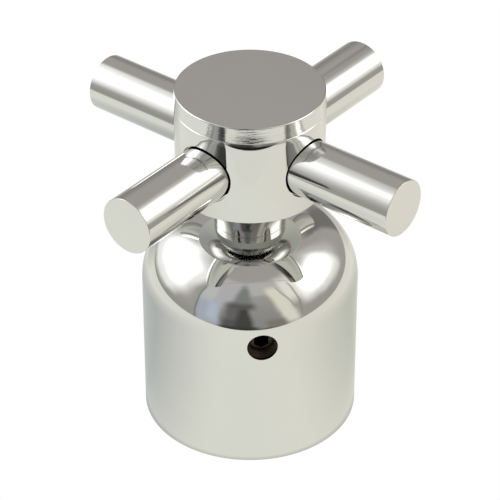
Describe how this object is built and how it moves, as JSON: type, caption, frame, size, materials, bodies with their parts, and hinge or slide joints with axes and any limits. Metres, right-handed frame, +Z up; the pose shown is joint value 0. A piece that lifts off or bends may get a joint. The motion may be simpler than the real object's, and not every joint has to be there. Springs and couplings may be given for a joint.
{
  "type": "tap handle",
  "caption": "Polished cross handle for a tap: flat-topped round hub with plain round bars, a short neck and a hollow bell skirt with a splined spindle socket and a side grub screw.",
  "frame": {"origin": "centre of the bell's lower rim, on the surface that the handle stands on", "axes": "+Z up along the spindle axis, -Y out of the grub screw hole, bars on the diagonals between X and Y"},
  "size_m": [0.063, 0.063, 0.0788],
  "materials": {
    "chrome_plate": "mirror-polished chrome plate on brass",
    "fastener_steel": "turned stainless steel with fine tool lines",
    "grub_steel": "dark steel with a brown bloom",
    "bare_brass": "machined brass, unplated",
    "seal_rubber": "matt black moulded rubber"
  },
  "bodies": {
    "root": {"bell": "chrome_plate", "cross_hub": "chrome_plate", "top_cap": "chrome_plate", "arm_back_left": "chrome_plate", "arm_back_right": "chrome_plate", "arm_front_left": "chrome_plate", "arm_front_right": "chrome_plate", "stud_back_left": "fastener_steel", "stud_back_right": "fastener_steel", "stud_front_left": "fastener_steel", "stud_front_right": "fastener_steel", "hub_screw": "fastener_steel", "spring_washer": "fastener_steel", "grub_screw": "grub_steel", "spline_bush": "bare_brass", "cap_o_ring": "seal_rubber"}
  },
  "joints": []
}
